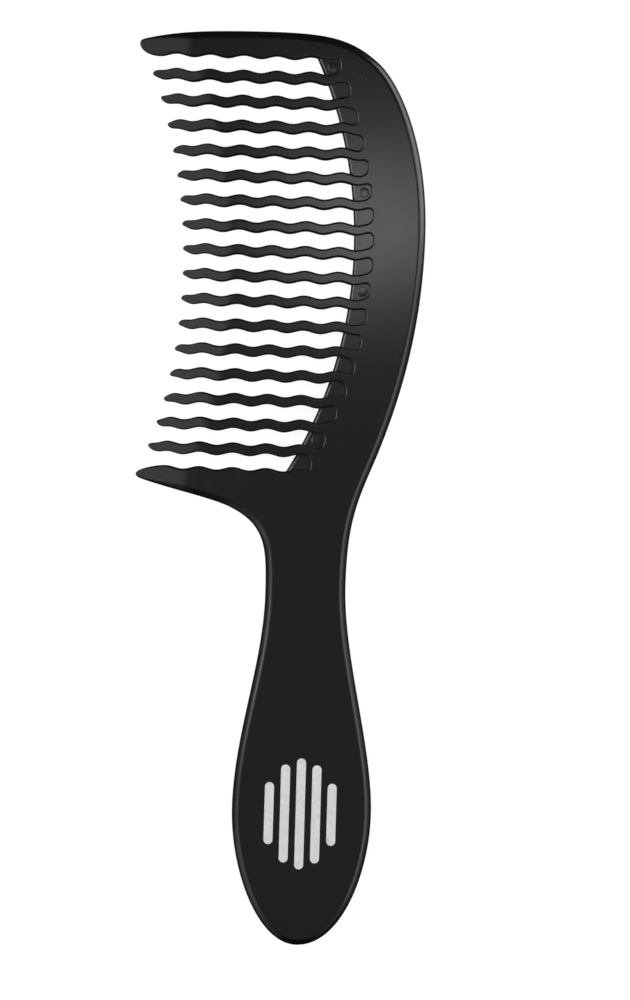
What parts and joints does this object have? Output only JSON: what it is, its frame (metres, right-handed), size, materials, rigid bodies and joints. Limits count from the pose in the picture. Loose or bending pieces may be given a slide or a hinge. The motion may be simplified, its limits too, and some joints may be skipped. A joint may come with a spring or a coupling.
{
  "type": "wide tooth comb",
  "caption": "One-piece wide tooth detangling comb with wavy teeth between two guard teeth, a curved spine and a paddle handle.",
  "frame": {"origin": "on the flat back face, on the handle's axis where the grip is widest", "axes": "+Z out of the front face, +Y from the handle to the head, +X from the teeth to the back of the spine"},
  "size_m": [0.0702, 0.2209, 0.0056],
  "materials": {
    "moulded_plastic": "satin moulded black",
    "printed_ink": "matte pad-printed light grey"
  },
  "bodies": {
    "root": {"handle": "moulded_plastic", "neck": "moulded_plastic", "spine": "moulded_plastic", "upper_guard": "moulded_plastic", "lower_guard": "moulded_plastic", "wave_tooth_01": "moulded_plastic", "wave_tooth_02": "moulded_plastic", "wave_tooth_03": "moulded_plastic", "wave_tooth_04": "moulded_plastic", "wave_tooth_05": "moulded_plastic", "wave_tooth_06": "moulded_plastic", "wave_tooth_07": "moulded_plastic", "wave_tooth_08": "moulded_plastic", "wave_tooth_09": "moulded_plastic", "wave_tooth_10": "moulded_plastic", "wave_tooth_11": "moulded_plastic", "wave_tooth_12": "moulded_plastic", "wave_tooth_13": "moulded_plastic", "wave_tooth_14": "moulded_plastic", "wave_tooth_15": "moulded_plastic", "wave_tooth_16": "moulded_plastic", "root_web_01": "moulded_plastic", "root_web_02": "moulded_plastic", "root_web_03": "moulded_plastic", "root_web_04": "moulded_plastic", "root_web_05": "moulded_plastic", "root_web_06": "moulded_plastic", "root_web_07": "moulded_plastic", "root_web_08": "moulded_plastic", "root_web_09": "moulded_plastic", "root_web_10": "moulded_plastic", "root_web_11": "moulded_plastic", "root_web_12": "moulded_plastic", "root_web_13": "moulded_plastic", "root_web_14": "moulded_plastic", "root_web_15": "moulded_plastic", "root_web_16": "moulded_plastic", "root_web_17": "moulded_plastic", "printed_stripes": "printed_ink"}
  },
  "joints": []
}
